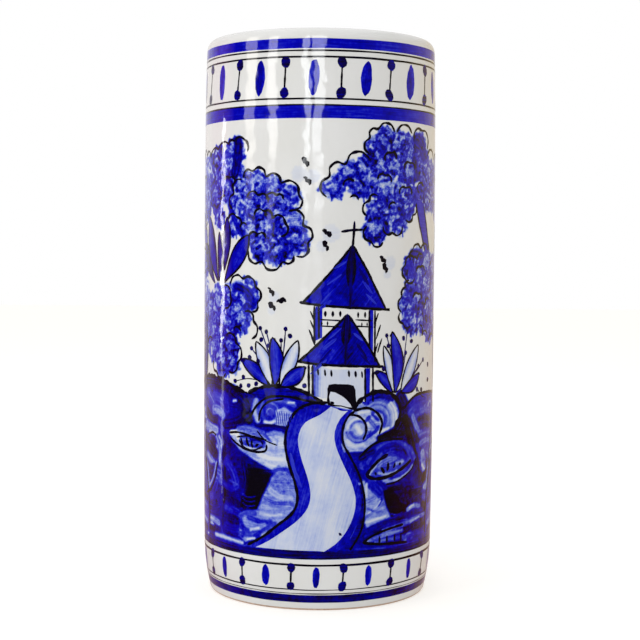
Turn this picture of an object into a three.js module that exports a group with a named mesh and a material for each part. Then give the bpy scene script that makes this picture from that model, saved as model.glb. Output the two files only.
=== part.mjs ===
// Umbrella stand: a tall glazed ceramic cylinder, open at the top, on an unglazed foot ring.
// It is drawn as the clay pieces a potter joins: barrel wall, rolled rim, floor slab and foot ring.
// Millimetres, +Z up, origin at the centre of the foot ring's underside.
import * as THREE from "three";

// Driving dimensions
const HEIGHT = 508;
const BELLY_RADIUS = 107.5; // outer radius at half height, the widest place
const END_INSET = 2.1; // how much the swelling profile draws in at the top and the bottom
const FOOT_INSET = 4.6; // further draw-in of the foot, spread over FOOT_TAPER_HEIGHT
const FOOT_TAPER_HEIGHT = 36;
const FOOT_TAPER_POWER = 1.5; // above 1 the taper leaves the wall without a crease
const WALL = 10;
const RIM_HEIGHT = 9.7;
const RIM_SHOULDER = 7; // horizontal reach of the rim's outer round
const FOOT_RING_HEIGHT = 7.1;
const FOOT_RING_WIDTH = 15;
const FOOT_EDGE_ROUND = 1.6;
const FLOOR_THICKNESS = 12;
const JOINT_GAP = 0.3; // slip joint between two clay pieces

// Tessellation
const TURN_STEPS = 72;
const WALL_STEPS = 12;
const TAPER_STEPS = 4;
const ROUND_STEPS = 5;

function outerRadius(z) {
  const fromMiddle = (2 * z) / HEIGHT - 1;
  const belowTaper = Math.max(0, 1 - z / FOOT_TAPER_HEIGHT) ** FOOT_TAPER_POWER;
  return BELLY_RADIUS - END_INSET * fromMiddle ** 4 - FOOT_INSET * belowTaper;
}

function innerRadius(z) {
  return outerRadius(z) - WALL;
}

// Points of a curve between two heights, bottom to top; radiusAt gives the radius at a height.
function sweepHeights(radiusAt, low, high, steps) {
  const points = [];
  for (let i = 0; i <= steps; i += 1) {
    const z = low + ((high - low) * i) / steps;
    points.push(new THREE.Vector2(radiusAt(z), z));
  }
  return points;
}

// Quarter of an ellipse about (r, z), from one angle to another in the radius-height plane.
function ellipseArc(r, z, reachR, reachZ, fromAngle, toAngle) {
  const points = [];
  for (let i = 0; i <= ROUND_STEPS; i += 1) {
    const angle = fromAngle + ((toAngle - fromAngle) * i) / ROUND_STEPS;
    points.push(new THREE.Vector2(r + reachR * Math.cos(angle), z + reachZ * Math.sin(angle)));
  }
  return points;
}

// A solid of revolution about +Z. A ring's outline runs up the outside and down the inside.
function turned(name, outline, material, isRing) {
  const points = isRing ? [...outline, outline[0].clone()] : outline;
  const geometry = new THREE.LatheGeometry(points, TURN_STEPS);
  geometry.rotateX(Math.PI / 2);
  const mesh = new THREE.Mesh(geometry, material);
  mesh.name = name;
  return mesh;
}

function barrelWall(material) {
  const low = FOOT_RING_HEIGHT + JOINT_GAP;
  const high = HEIGHT - RIM_HEIGHT - JOINT_GAP;
  const outside = [
    ...sweepHeights(outerRadius, low, FOOT_TAPER_HEIGHT, TAPER_STEPS),
    ...sweepHeights(outerRadius, FOOT_TAPER_HEIGHT, high, WALL_STEPS).slice(1),
  ];
  const inside = outside.map((point) => new THREE.Vector2(innerRadius(point.y), point.y));
  return turned("barrel_wall", [...outside, ...inside.reverse()], material, true);
}

function rolledRim(material) {
  const low = HEIGHT - RIM_HEIGHT;
  const outer = outerRadius(low);
  const inner = innerRadius(low);
  const crest = outer - RIM_SHOULDER;
  const shoulder = ellipseArc(crest, low, RIM_SHOULDER, RIM_HEIGHT, 0, Math.PI / 2);
  const inside = ellipseArc(crest, low, crest - inner, RIM_HEIGHT, Math.PI / 2, Math.PI);
  return turned("rolled_rim", [...shoulder, ...inside.slice(1)], material, true);
}

function floorSlab(material) {
  const low = FOOT_RING_HEIGHT + JOINT_GAP;
  const high = low + FLOOR_THICKNESS;
  const outline = [
    new THREE.Vector2(0, low),
    new THREE.Vector2(innerRadius(low) - JOINT_GAP, low),
    new THREE.Vector2(innerRadius(high) - JOINT_GAP, high),
    new THREE.Vector2(0, high),
  ];
  return turned("floor_slab", outline, material, false);
}

function footRing(material) {
  const outer = outerRadius(0);
  const inner = outer - FOOT_RING_WIDTH;
  const outerEdge = ellipseArc(
    outer - FOOT_EDGE_ROUND, FOOT_EDGE_ROUND, FOOT_EDGE_ROUND, FOOT_EDGE_ROUND, -Math.PI / 2, 0);
  const innerEdge = ellipseArc(
    inner + FOOT_EDGE_ROUND, FOOT_EDGE_ROUND, FOOT_EDGE_ROUND, FOOT_EDGE_ROUND, Math.PI, 1.5 * Math.PI);
  const top = [
    new THREE.Vector2(outerRadius(FOOT_RING_HEIGHT), FOOT_RING_HEIGHT),
    new THREE.Vector2(inner, FOOT_RING_HEIGHT),
  ];
  return turned("foot_ring", [...outerEdge, ...top, ...innerEdge], material, true);
}

const whiteGlaze = new THREE.MeshStandardMaterial({ color: 0xe9e8e3, roughness: 0.15, metalness: 0 });
const paintedGlaze = new THREE.MeshStandardMaterial({ color: 0x8fa0d0, roughness: 0.15, metalness: 0 });
const bareClay = new THREE.MeshStandardMaterial({ color: 0xb59a86, roughness: 0.9, metalness: 0 });

const stand = new THREE.Group();
stand.add(barrelWall(paintedGlaze));
stand.add(rolledRim(whiteGlaze));
stand.add(floorSlab(whiteGlaze));
stand.add(footRing(bareClay));

export default stand;
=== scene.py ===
"""Umbrella stand: the glazed vessel and its hand-painted decoration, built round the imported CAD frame.

The painting is drawn on the unrolled wall. A place on it is (s, z) in millimetres: s runs round the
wall from the front centre line, to the right as seen from outside, and z is the height above the floor.
A tone is how much paint there is: 0 is bare white glaze, 0.7 full cobalt and 1 liner black.
"""
import math

import bpy
import numpy as np
from mathutils import Matrix, Vector
from mathutils.geometry import delaunay_2d_cdt


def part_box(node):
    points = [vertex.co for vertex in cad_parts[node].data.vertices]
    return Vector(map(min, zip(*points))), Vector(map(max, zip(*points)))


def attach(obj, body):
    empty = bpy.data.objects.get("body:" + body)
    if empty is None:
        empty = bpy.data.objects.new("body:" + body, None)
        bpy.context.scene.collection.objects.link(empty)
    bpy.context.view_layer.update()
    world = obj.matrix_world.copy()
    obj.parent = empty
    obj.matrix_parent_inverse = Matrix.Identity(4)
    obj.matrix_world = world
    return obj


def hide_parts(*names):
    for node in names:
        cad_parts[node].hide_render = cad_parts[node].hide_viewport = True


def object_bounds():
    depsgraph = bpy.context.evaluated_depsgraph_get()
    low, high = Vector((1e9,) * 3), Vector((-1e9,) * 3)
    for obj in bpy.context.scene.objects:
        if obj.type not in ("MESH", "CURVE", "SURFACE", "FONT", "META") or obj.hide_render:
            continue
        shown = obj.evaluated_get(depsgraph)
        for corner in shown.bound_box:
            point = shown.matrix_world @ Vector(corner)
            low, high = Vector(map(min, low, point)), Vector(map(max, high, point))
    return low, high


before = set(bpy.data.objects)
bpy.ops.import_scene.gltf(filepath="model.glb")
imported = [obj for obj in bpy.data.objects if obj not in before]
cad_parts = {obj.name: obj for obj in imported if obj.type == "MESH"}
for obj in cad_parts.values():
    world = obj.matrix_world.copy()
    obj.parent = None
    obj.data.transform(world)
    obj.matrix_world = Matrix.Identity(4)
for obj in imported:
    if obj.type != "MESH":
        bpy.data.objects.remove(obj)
cad_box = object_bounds()

MM = 0.001

# The vessel, measured from the frame (metres)
HEIGHT = cad_box[1][2]
BELLY_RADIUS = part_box("barrel_wall")[1].x
FOOT_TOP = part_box("foot_ring")[1].z
RIM_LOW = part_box("rolled_rim")[0].z
FLOOR_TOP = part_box("floor_slab")[1].z
FLOOR_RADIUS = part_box("floor_slab")[1].x

# The profile's shape, as in the CAD source (metres)
END_INSET = 2.1 * MM
FOOT_INSET = 4.6 * MM
FOOT_TAPER_HEIGHT = 36 * MM
FOOT_TAPER_POWER = 1.5
WALL = 10 * MM
RIM_SHOULDER = 7 * MM
FOOT_RING_WIDTH = 15 * MM
FOOT_EDGE_ROUND = 1.6 * MM
BARE_CLAY_HEIGHT = 1.8 * MM

# The painting's sheet: the wall unrolled at this radius (millimetres)
PAINT_RADIUS = 107.0
TURN = 2 * math.pi * PAINT_RADIUS
QUARTER = 168  # a quarter turn
BACK = 336.0  # the middle of the back
GROUND_LOW = 46.8
SKYLINE = 204  # above all the ground
TREE_TOPS = 432
COAT = 0.03  # one layer of paint over another; more than the sagitta of a facet
TURN_STEPS = 288
BLEED = 1.3  # how much a liner stroke spreads in the firing
LINER_MOTTLE = 0.02
DAB_STEPS = 18
STREAK = 0.08  # how much a soft brush's bristles part

WASH, FILL, OVER, LINE, DOT = 1, 2, 3, 4, 5  # the order of the layers, from the glaze outwards
# The tones; the last lies past 1, so that mottling hardly shows in it
BARE, PALE, LIGHT, MID, COBALT, DEEP, NAVY, BLACK = 0.0, 0.16, 0.36, 0.52, 0.7, 0.82, 0.92, 1.04

random = np.random.default_rng(7)


# ---------------------------------------------------------------- the vessel's form

def wall_radius(z):
    """Outer radius of the wall at height z, both in metres; z may be an array."""
    from_middle = 2 * z / HEIGHT - 1
    below_taper = np.maximum(0, 1 - z / FOOT_TAPER_HEIGHT) ** FOOT_TAPER_POWER
    return BELLY_RADIUS - END_INSET * from_middle ** 4 - FOOT_INSET * below_taper


def new_piece(name, points, faces, material, normals=None):
    """A mesh object from points in metres; normals, one a point, stand in for the faceted ones."""
    mesh = bpy.data.meshes.new(name)
    mesh.from_pydata([tuple(p) for p in points], [], [tuple(int(i) for i in f) for f in faces])
    mesh.materials.append(material)
    mesh.shade_smooth()
    if normals is None:
        mesh.set_sharp_from_angle(angle=math.radians(40))
    else:
        mesh.normals_split_custom_set_from_vertices([tuple(n) for n in normals])
    piece = bpy.data.objects.new(name, mesh)
    bpy.context.scene.collection.objects.link(piece)
    return piece


def ring_faces(rows, closed=False):
    """Quads all round the stand between columns of so many points; closed joins each column's ends."""
    faces = []
    for turn in range(TURN_STEPS):
        here = turn * rows
        there = (turn + 1) % TURN_STEPS * rows
        for row in range(rows if closed else rows - 1):
            above = (row + 1) % rows
            faces.append((here + row, there + row, there + above, here + above))
    return faces


def turned_piece(name, outline, material):
    """A body of revolution. outline is (radius, height) points, up the outside and down the inside."""
    radius, height = np.asarray(outline, float).T
    angles = np.arange(TURN_STEPS) * 2 * math.pi / TURN_STEPS
    points = np.stack([np.outer(np.sin(angles), radius), np.outer(-np.cos(angles), radius),
                       np.tile(height, (TURN_STEPS, 1))], axis=2).reshape(-1, 3)
    return new_piece(name, points, ring_faces(len(outline), closed=True), material)


def arc(centre, reach, start, end, steps):
    """Points of an ellipse's arc in the radius-height plane, from one angle in degrees to another."""
    angles = np.radians(np.linspace(start, end, steps + 1))
    return [(centre[0] + reach[0] * math.cos(a), centre[1] + reach[1] * math.sin(a)) for a in angles]


def stands_for(piece, node):
    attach(piece, "root")
    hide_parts(node)


def build_wall(glaze):
    heights = np.concatenate([np.linspace(FOOT_TOP, FOOT_TAPER_HEIGHT, 12)[:-1],
                              np.linspace(FOOT_TAPER_HEIGHT, RIM_LOW, 64)])
    outside = [(wall_radius(z), z) for z in heights]
    inside = [(r - WALL, z) for r, z in reversed(outside)]
    stands_for(turned_piece("wall_glaze", outside + inside, glaze), "barrel_wall")


def build_rim(glaze):
    outer = wall_radius(RIM_LOW)
    crest = outer - RIM_SHOULDER
    rise = HEIGHT - RIM_LOW
    shoulder = arc((crest, RIM_LOW), (RIM_SHOULDER, rise), 0, 90, 16)
    inside = arc((crest, RIM_LOW), (crest - outer + WALL, rise), 90, 180, 12)
    stands_for(turned_piece("rim_glaze", shoulder + inside[1:], glaze), "rolled_rim")


def build_floor(glaze):
    """The floor inside, with the glaze pooled into a small fillet against the wall."""
    fillet = 5 * MM
    low = FOOT_TOP + 0.3 * MM
    edge = FLOOR_RADIUS
    cove = arc((edge - fillet, FLOOR_TOP + fillet), (fillet, fillet), 0, -90, 8)
    outline = [(edge - 2 * MM, low)] + cove
    rings = [0.75, 0.5, 0.25, 0.02]
    outline += [(edge * share, FLOOR_TOP) for share in rings]
    outline += [(edge * share, low) for share in reversed(rings)]
    stands_for(turned_piece("floor_glaze", outline, glaze), "floor_slab")


def build_foot(glaze, clay):
    """The foot ring: glazed down its side to a line just above the floor, bare clay below it."""
    outer = float(wall_radius(0))
    inner = outer - FOOT_RING_WIDTH
    edge = FOOT_EDGE_ROUND
    side = [(float(wall_radius(z)), z) for z in np.linspace(BARE_CLAY_HEIGHT, FOOT_TOP, 6)]
    outline = arc((outer - edge, edge), (edge, edge), -90, 0, 6) + side + [(inner, FOOT_TOP)]
    outline += arc((inner + edge, edge), (edge, edge), 180, 270, 6)
    foot = turned_piece("foot_clay", outline, clay)
    foot.data.materials.append(glaze)
    for face in foot.data.polygons:
        outside = math.hypot(face.center.x, face.center.y) > outer - edge
        face.material_index = int(outside and face.center.z > BARE_CLAY_HEIGHT)
    stands_for(foot, "foot_ring")


# ---------------------------------------------------------------- wrapping the painting

def on_wall(places, coats):
    """Points and normals on the wall for places (s, z) in millimetres, so many coats of paint out."""
    places = np.asarray(places, float)
    angle = places[:, 0] / PAINT_RADIUS
    z = places[:, 1] * MM
    step = 0.5 * MM
    slope = (wall_radius(z + step) - wall_radius(z - step)) / (2 * step)
    radius = wall_radius(z) + np.asarray(coats) * COAT * MM
    points = np.stack([radius * np.sin(angle), -radius * np.cos(angle), z], axis=1)
    normals = np.stack([np.sin(angle), -np.cos(angle), -slope], axis=1)
    normals /= np.linalg.norm(normals, axis=1, keepdims=True)
    return points, normals


def smooth(points, closed=False, spacing=1.5):
    """A curve through given points (Catmull-Rom), sampled about every spacing millimetres.

    The points are (s, z) pairs, or plain numbers s, z, s, z and so on."""
    p = np.reshape(points, (-1, 2)).astype(float)
    count = len(p)
    if count == 2 and not closed:
        steps = max(2, int(np.linalg.norm(p[1] - p[0]) / spacing))
        return p[0] + (p[1] - p[0]) * np.linspace(0, 1, steps + 1)[:, None]
    out = []
    for i in range(count if closed else count - 1):
        if closed:
            a, b, c, d = (p[(i + k) % count] for k in (-1, 0, 1, 2))
        else:
            a, b, c, d = p[max(i - 1, 0)], p[i], p[i + 1], p[min(i + 2, count - 1)]
        steps = max(2, int(np.linalg.norm(c - b) / spacing))
        t = (np.arange(steps) / steps)[:, None]
        out.append(0.5 * (2 * b + (c - a) * t + (2 * a - 5 * b + 4 * c - d) * t ** 2
                          + (3 * b - a - 3 * c + d) * t ** 3))
    if not closed:
        out.append(p[-1:])
    return np.concatenate(out)


def lengths_along(points):
    """Distance along a polyline at each of its points."""
    return np.concatenate([[0], np.cumsum(np.linalg.norm(np.diff(points, axis=0), axis=1))])


def ripple(along, wavelength):
    """A smooth unit-size wobble of a hand-drawn edge, from three seeded sines."""
    phases = random.uniform(0, 2 * math.pi, 3)
    return sum(np.sin(along * 2 * math.pi / (wavelength * share) + phase)
               for share, phase in zip((1, 0.57, 0.31), phases)) / 2


def heading_and_side(degrees):
    """Unit vectors along a direction on the painting and to its left."""
    turn = math.radians(degrees)
    return np.array([math.cos(turn), math.sin(turn)]), np.array([-math.sin(turn), math.cos(turn)])


def oval(centre, length, width, angle, steps, uneven):
    """The slightly uneven outline of a brush mark, its length lying at angle."""
    heading, side = heading_and_side(angle)
    t = np.arange(steps) * 2 * math.pi / steps
    reach = 1 + uneven * ripple(t, 2.5)
    return (centre + (length / 2 * np.cos(t) * reach)[:, None] * heading
            + (width / 2 * np.sin(t) * reach)[:, None] * side)


class Film:
    """The strokes of one painted piece, which build() wraps round the wall."""

    def __init__(self, name, origin=0.0, mirror=1):
        self.name = name
        self.origin = origin
        self.mirror = mirror
        self.places, self.coats, self.strokes, self.paint, self.faces = [], [], [], [], []
        self.count = 0

    def add(self, places, faces, layer, stroke, tone, mottle):
        """stroke is the place in the stroke's own direction, which lays the bristle marks along it."""
        places = np.array(places, float)
        size = len(places)
        places[:, 0] = self.origin + self.mirror * places[:, 0]
        shift = random.uniform(-400, 400, 2)
        self.places.append(places)
        self.coats.append(np.full(size, float(layer)))
        self.strokes.append(np.asarray(stroke) + shift)
        self.paint.append(np.stack([np.broadcast_to(tone, size), np.broadcast_to(mottle, size)], axis=1))
        step = 1 if self.mirror > 0 else -1
        self.faces += [tuple(self.count + i for i in face)[::step] for face in faces]
        self.count += size

    def fill(self, outline, tone, layer=FILL, grain=0.0, mottle=0.08, cell=3.5):
        """A painted area. grain is the brush's direction in degrees; tone may be a function of places."""
        border = np.asarray(outline, float)
        low, high = border.min(0), border.max(0)
        grid = np.meshgrid(np.arange(low[0], high[0], cell), np.arange(low[1], high[1], cell))
        inner = np.stack(grid, axis=-1).reshape(-1, 2) + cell / 3
        count = len(border)
        loops = [(i, (i + 1) % count) for i in range(count)]
        cut = delaunay_2d_cdt([Vector(p) for p in np.concatenate([border, inner])], loops,
                              [list(range(count))], 1, 1e-5)
        used = sorted({i for face in cut[2] for i in face})
        index = {old: new for new, old in enumerate(used)}
        places = np.array([cut[0][i][:] for i in used])
        faces = [tuple(index[i] for i in face) for face in cut[2]]
        tones = tone(places) if callable(tone) else tone
        self.add(places, faces, layer, places @ np.stack(heading_and_side(grain), axis=1), tones, mottle)

    def line(self, points, width, tone=BLACK, layer=LINE, closed=False, taper=2.0, wobble=0.18):
        """A liner stroke, thicker and thinner as the hand presses, with rounded ends."""
        path = smooth(points, closed)
        if closed:
            path = np.concatenate([path, path[:1]])
        along = lengths_along(path)
        heading = np.gradient(path, axis=0)
        heading /= np.linalg.norm(heading, axis=1, keepdims=True) + 1e-9
        side = np.stack([-heading[:, 1], heading[:, 0]], axis=1)
        half = width / 2 * BLEED * (1 + wobble * ripple(along, 23))
        if not closed:
            ends = np.minimum(along, along[-1] - along) / taper
            half *= 0.25 + 0.75 * np.sqrt(np.clip(ends, 0, 1))
        offsets = np.array([1, 0, -1])
        places = (path[:, None] + offsets[None, :, None] * (half[:, None] * side)[:, None]).reshape(-1, 2)
        stroke = np.stack([np.repeat(along, 3), (offsets * half[:, None]).reshape(-1)], axis=1)
        faces = [(a, a + 1, a + 4, a + 3) for i in range(len(path) - 1) for a in (3 * i, 3 * i + 1)]
        self.add(places, faces, layer, stroke, tone, LINER_MOTTLE)

    def lines(self, *strokes):
        """Liner strokes, each given as its width and then its points."""
        for width, *path in strokes:
            self.line(path, width)

    def dab(self, centre, length, width, tone=NAVY, angle=90.0):
        """One touch of a round brush, on top of everything else."""
        outline = oval(centre, length, width, angle, DAB_STEPS, 0.07)
        faces = [(0, i + 1, (i + 1) % DAB_STEPS + 1) for i in range(DAB_STEPS)]
        places = np.concatenate([[centre], outline])
        self.add(places, faces, DOT, places, tone, 0.05)

    def blot(self, centre, length, width, tone, angle):
        """A long touch of a full brush, drier along one side."""
        outline = oval(centre, length, width, angle, 20, 0.06)
        side = heading_and_side(angle)[1]
        dry = random.choice([-1, 1])
        self.fill(outline, lambda p: tone - 0.2 * np.clip(dry * (p - centre) @ side / width + 0.1, 0, 1),
                  FILL, angle, 0.1, 2.2)

    def band(self, low, high, tone, layer=FILL, wobble=0.12, mottle=0.06):
        """A ring of paint all round, laid on with the stand turning on a wheel."""
        rows = max(2, int((high - low) / 2.5) + 1)
        s = np.arange(TURN_STEPS) * TURN / TURN_STEPS
        waves = np.array([1, 2, 3, 5, 9, 17])
        phases = random.uniform(0, 2 * math.pi, (2, len(waves)))
        edges = [wobble * np.sin(np.outer(s, waves) / PAINT_RADIUS + phase).sum(1) / 2 for phase in phases]
        share = np.linspace(0, 1, rows)
        z = low + edges[0][:, None] * (1 - share) + (high - low) * share + edges[1][:, None] * share
        places = np.stack([np.repeat(s, rows), z.reshape(-1)], axis=1)
        self.add(places, ring_faces(rows), layer, places, tone, mottle)

    def rules(self, *rings):
        """Thin black rings, each given as its height and its width."""
        for height, width in rings:
            self.band(height - width / 2, height + width / 2, BLACK, LINE, 0.12, LINER_MOTTLE)

    def build(self, material):
        points, normals = on_wall(np.concatenate(self.places), np.concatenate(self.coats))
        piece = new_piece(self.name, points, self.faces, material, normals)
        write_paint(piece, np.concatenate(self.strokes), np.concatenate(self.paint))


def write_paint(piece, strokes, paint):
    """Stores what the brushwork material reads at each point: bristle direction, tone and mottling."""
    for name, values in (("stroke", strokes), ("paint", paint)):
        layer = piece.data.attributes.new(name, "FLOAT_VECTOR", "POINT")
        layer.data.foreach_set("vector", np.pad(values, ((0, 0), (0, 1))).astype(np.float32).reshape(-1))
    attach(piece, "root")


# ---------------------------------------------------------------- washes and sponging

class Sheet:
    """Soft brushwork: tones on a 1 mm grid over the unrolled wall, painted stroke by stroke."""

    def __init__(self, top):
        self.columns = int(TURN)
        self.step = TURN / self.columns
        self.rows = top
        self.tone = np.zeros((self.rows, self.columns))
        self.mottle = np.zeros((self.rows, self.columns))
        self.bristles = np.stack(np.meshgrid(np.arange(self.columns) * self.step,
                                             np.arange(self.rows, dtype=float)), axis=2)
        self.origin = 0.0
        self.mirror = 1

    def put(self, points):
        """Points as places on the turn, mirrored and moved to the sheet's origin."""
        return np.reshape(points, (-1, 2)) * (self.mirror, 1.0) + (self.origin, 0)

    def window(self, path, margin):
        """Index and places of the grid points in the box round a path."""
        low, high = path.min(0) - margin, path.max(0) + margin
        rows = np.arange(max(0, math.floor(low[1])), min(self.rows, math.ceil(high[1])))
        columns = np.arange(math.floor(low[0] / self.step), math.ceil(high[0] / self.step))
        s, z = np.meshgrid(columns * self.step, rows)
        return np.ix_(rows, columns % self.columns), s, z

    def lay(self, index, cover, tone, mottle):
        """Paints a tone over the grid's points at index, as thickly as cover says at each."""
        cover = np.clip(cover, 0, 1)
        self.tone[index] += (tone - self.tone[index]) * cover
        self.mottle[index] += (mottle - self.mottle[index]) * cover

    @staticmethod
    def distance(path, s, z):
        """Distance of each place from a polyline, and how far along it the nearest point is."""
        best = np.full(s.shape, 1e9)
        along = np.zeros(s.shape)
        run = lengths_along(path)
        for i, (a, b) in enumerate(zip(path[:-1], path[1:])):
            step = b - a
            size = step @ step + 1e-9
            t = np.clip(((s - a[0]) * step[0] + (z - a[1]) * step[1]) / size, 0, 1)
            d = np.hypot(s - a[0] - t * step[0], z - a[1] - t * step[1])
            along = np.where(d < best, run[i] + t * math.sqrt(size), along)
            best = np.minimum(d, best)
        return best, along

    def stroke(self, points, width, tone, alpha, soft, mottle):
        """A soft brush drawn along a curve."""
        path = smooth(self.put(points), spacing=5)
        index, s, z = self.window(path, width / 2 + soft)
        d, along = self.distance(path, s, z)
        bristles = np.sin(d * 1.7 + along * 0.06 + random.uniform(0, 6))
        bristles *= np.sin(along * 0.11 + random.uniform(0, 6))
        cover = (width / 2 - d) / soft + 0.5
        self.lay(index, cover * alpha, tone + STREAK * bristles, mottle)
        self.bristles[index] = np.where(cover[..., None] > 0.5, np.stack([along, d], axis=2),
                                        self.bristles[index])

    def area(self, outline, tone, alpha=1.0, soft=2.0, mottle=0.12):
        path = self.put(outline)
        path = np.concatenate([path, path[:1]])
        index, s, z = self.window(path, soft)
        inside = np.zeros(s.shape, bool)
        for (s0, z0), (s1, z1) in zip(path[:-1], path[1:]):
            crosses = (z0 > z) != (z1 > z)
            inside ^= crosses & (s < (s1 - s0) * (z - z0) / (z1 - z0 + 1e-12) + s0)
        d = self.distance(path, s, z)[0]
        self.lay(index, (np.where(inside, d, -d) / soft + 0.5) * alpha, tone, mottle)

    def foliage(self, lobes, tone=MID + 0.04, mottle=0.3):
        """Leaves dabbed with the side of a brush: ragged lobes, each a whorl of short touches."""
        shades = (PALE, LIGHT, LIGHT, MID, COBALT, COBALT, DEEP, DEEP, NAVY, NAVY)
        for s, z, radius in lobes:
            self.touch((s, z), radius * 1.1, tone + random.uniform(-0.1, 0.1), 1.0, mottle, 0.13)
        for s, z, radius in lobes:
            darkness = random.integers(0, 4)
            side = random.uniform(-0.6, 0.6)
            shade = [(s + radius * 0.7 * math.sin(side + a), z - radius * 0.7 * math.cos(side + a))
                     for a in (-1.1, 0, 1.1)]
            self.stroke(shade, radius * 0.5, NAVY - 0.03, 0.35 + 0.12 * darkness, 3, mottle)
            self.touch((s - radius * 0.2, z + radius * 0.25), radius * random.uniform(0.35, 0.65), LIGHT,
                       0.7, mottle, 0.3)
            for _ in range(int(radius ** 2 / 6.5)):
                turn, reach = random.uniform(0, 2 * math.pi), radius * math.sqrt(random.uniform(0, 1))
                start = (s + reach * math.cos(turn), z + reach * math.sin(turn))
                sweep, length = turn + random.uniform(1.1, 2.0), random.uniform(2.5, 7.5)
                end = (start[0] + length * math.cos(sweep), start[1] + length * math.sin(sweep))
                tone = shades[random.integers(darkness, darkness + 7)]
                self.stroke([start, end], random.uniform(1.6, 3.4), tone, random.uniform(0.55, 1), 1.1,
                            mottle)
            for across in random.uniform(-0.75, 0.75, int(radius / 2.5)) * radius:
                low = z - 1.05 * math.sqrt(radius ** 2 - across ** 2)
                fringe = [(s + across, low + 4), (s + across + 0.8, low - random.uniform(0.5, 3.5))]
                self.stroke(fringe, 1.5, random.choice([MID, COBALT, DEEP]), 0.85, 0.9, mottle)

    def touch(self, centre, radius, tone, alpha, mottle, ragged):
        """A dab with a ragged round edge."""
        centre = self.put([centre])
        index, s, z = self.window(centre, radius * 1.5)
        turn = np.arctan2(z - centre[0, 1], s - centre[0, 0])
        phases = random.uniform(0, 2 * math.pi, 3)
        edge = 1 + ragged * sum(np.sin(turn * k + a) for k, a in zip((3, 7, 13), phases)) / 2
        d = np.hypot(s - centre[0, 0], z - centre[0, 1])
        self.lay(index, ((radius * edge - d) / 1.6 + 0.5) * alpha, tone, mottle)

    def piece(self, name, material, s_range, z_range):
        """The part of the sheet inside a box of places, without its bare cells, wrapped as a piece."""
        rows = np.arange(int(z_range[0]), min(self.rows, int(z_range[1]) + 1))
        first, last = (int(round(s / self.step)) for s in s_range)
        columns = np.arange(first, min(last, first + self.columns) + 1)
        index = np.ix_(rows, columns % self.columns)
        painted = self.tone[index] > 0.012
        cells = painted[:-1, :-1] | painted[1:, :-1] | painted[:-1, 1:] | painted[1:, 1:]
        row, column = np.nonzero(cells)
        wide = len(columns)
        corner = row * wide + column
        used, faces = np.unique(np.stack([corner, corner + 1, corner + wide + 1, corner + wide], axis=1),
                                return_inverse=True)
        s, z = np.meshgrid(columns * self.step, rows)
        places = np.stack([s.reshape(-1)[used], z.reshape(-1)[used]], axis=1)
        points, normals = on_wall(places, np.full(len(used), float(WASH)))
        piece = new_piece(name, points, faces.reshape(-1, 4), material, normals)
        paint = np.stack([self.tone[index].reshape(-1)[used], self.mottle[index].reshape(-1)[used]], axis=1)
        write_paint(piece, self.bristles[index].reshape(-1, 2)[used], paint)


# ---------------------------------------------------------------- materials

class Nodes:
    """A node tree being wired up."""

    def __init__(self, tree):
        self.tree = tree

    def join(self, value, socket):
        if hasattr(value, "links"):
            self.tree.links.new(value, socket)
        else:
            socket.default_value = value

    def node(self, kind, output, inputs, **settings):
        """One output of a new node; inputs are values or other nodes' outputs, by name or number."""
        node = self.tree.nodes.new("ShaderNode" + kind)
        for name, value in settings.items():
            setattr(node, name, value)
        for name, value in inputs.items():
            self.join(value, node.inputs[name])
        return node.outputs[output]

    def coordinates(self, kind):
        return self.node("TexCoord", kind, {})

    def noise(self, size, detail=2.0, roughness=0.5, vector=None):
        """Noise whose features are about size metres across (or size units of the given vector)."""
        inputs = {"Vector": vector or self.coordinates("Object"), "Scale": 1 / size, "Detail": detail,
                  "Roughness": roughness}
        return self.node("TexNoise", "Fac", inputs)

    def maths(self, operation, a, b=0.0, clamp=False):
        return self.node("Math", 0, {0: a, 1: b}, operation=operation, use_clamp=clamp)

    def around(self, value, amount):
        """value's swing about one half, times amount."""
        return self.maths("MULTIPLY", self.maths("SUBTRACT", value, 0.5), amount)

    def ramp(self, value, stops):
        colour = self.node("ValToRGB", "Color", {"Fac": value})
        elements = colour.node.color_ramp.elements
        while len(elements) < len(stops):
            elements.new(0.5)
        for element, (position, rgb) in zip(elements, stops):
            element.position = position
            element.color = (*rgb, 1)
        return colour

    def split(self, vector):
        return self.node("SeparateXYZ", 0, {0: vector}).node.outputs

    def blend(self, share, first, second):
        """Colour mixed from first, where share is 0, to second, where it is 1."""
        return self.node("Mix", "Result", {"Factor": share, "A": first, "B": second}, data_type="RGBA")

    def attribute(self, name):
        return self.node("Attribute", "Vector", {}, attribute_name=name)

    def bump(self, height, distance, **below):
        """Relief so many metres high; Normal=output lays it over other relief."""
        return self.node("Bump", "Normal", {"Height": height, "Distance": distance, **below})


class Shader(Nodes):
    """A material being wired up round its Principled shader."""

    def __init__(self, name):
        self.material = bpy.data.materials.new(name)
        self.material.use_nodes = True
        super().__init__(self.material.node_tree)

    def surface(self, **inputs):
        """Sets the Principled shader's inputs, whose names have _ for a space, and gives the material."""
        for name, value in inputs.items():
            self.join(value, self.tree.nodes["Principled BSDF"].inputs[name.replace("_", " ")])
        return self.material

    def glaze(self, colour):
        """What every glazed piece shares: a glassy skin, unevenly thrown and faintly like orange peel."""
        thrown = self.bump(self.noise(0.045, 1.0), 0.0011)
        uneven = self.bump(self.noise(0.013, 1.0), 0.0004, Normal=thrown)
        skin = self.bump(self.noise(0.0055, 1.0), 0.00004, Normal=uneven)
        return self.surface(Base_Color=colour, Roughness=0.07, Normal=skin)


GLAZE_WHITE = (0.665, 0.67, 0.66)


def white_glaze():
    shader = Shader("white_glaze")
    return shader.glaze(shader.ramp(shader.noise(0.06, 3.0), [
        (0.3, (0.645, 0.65, 0.63)), (0.5, GLAZE_WHITE), (0.7, (0.685, 0.69, 0.685))]))


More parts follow.
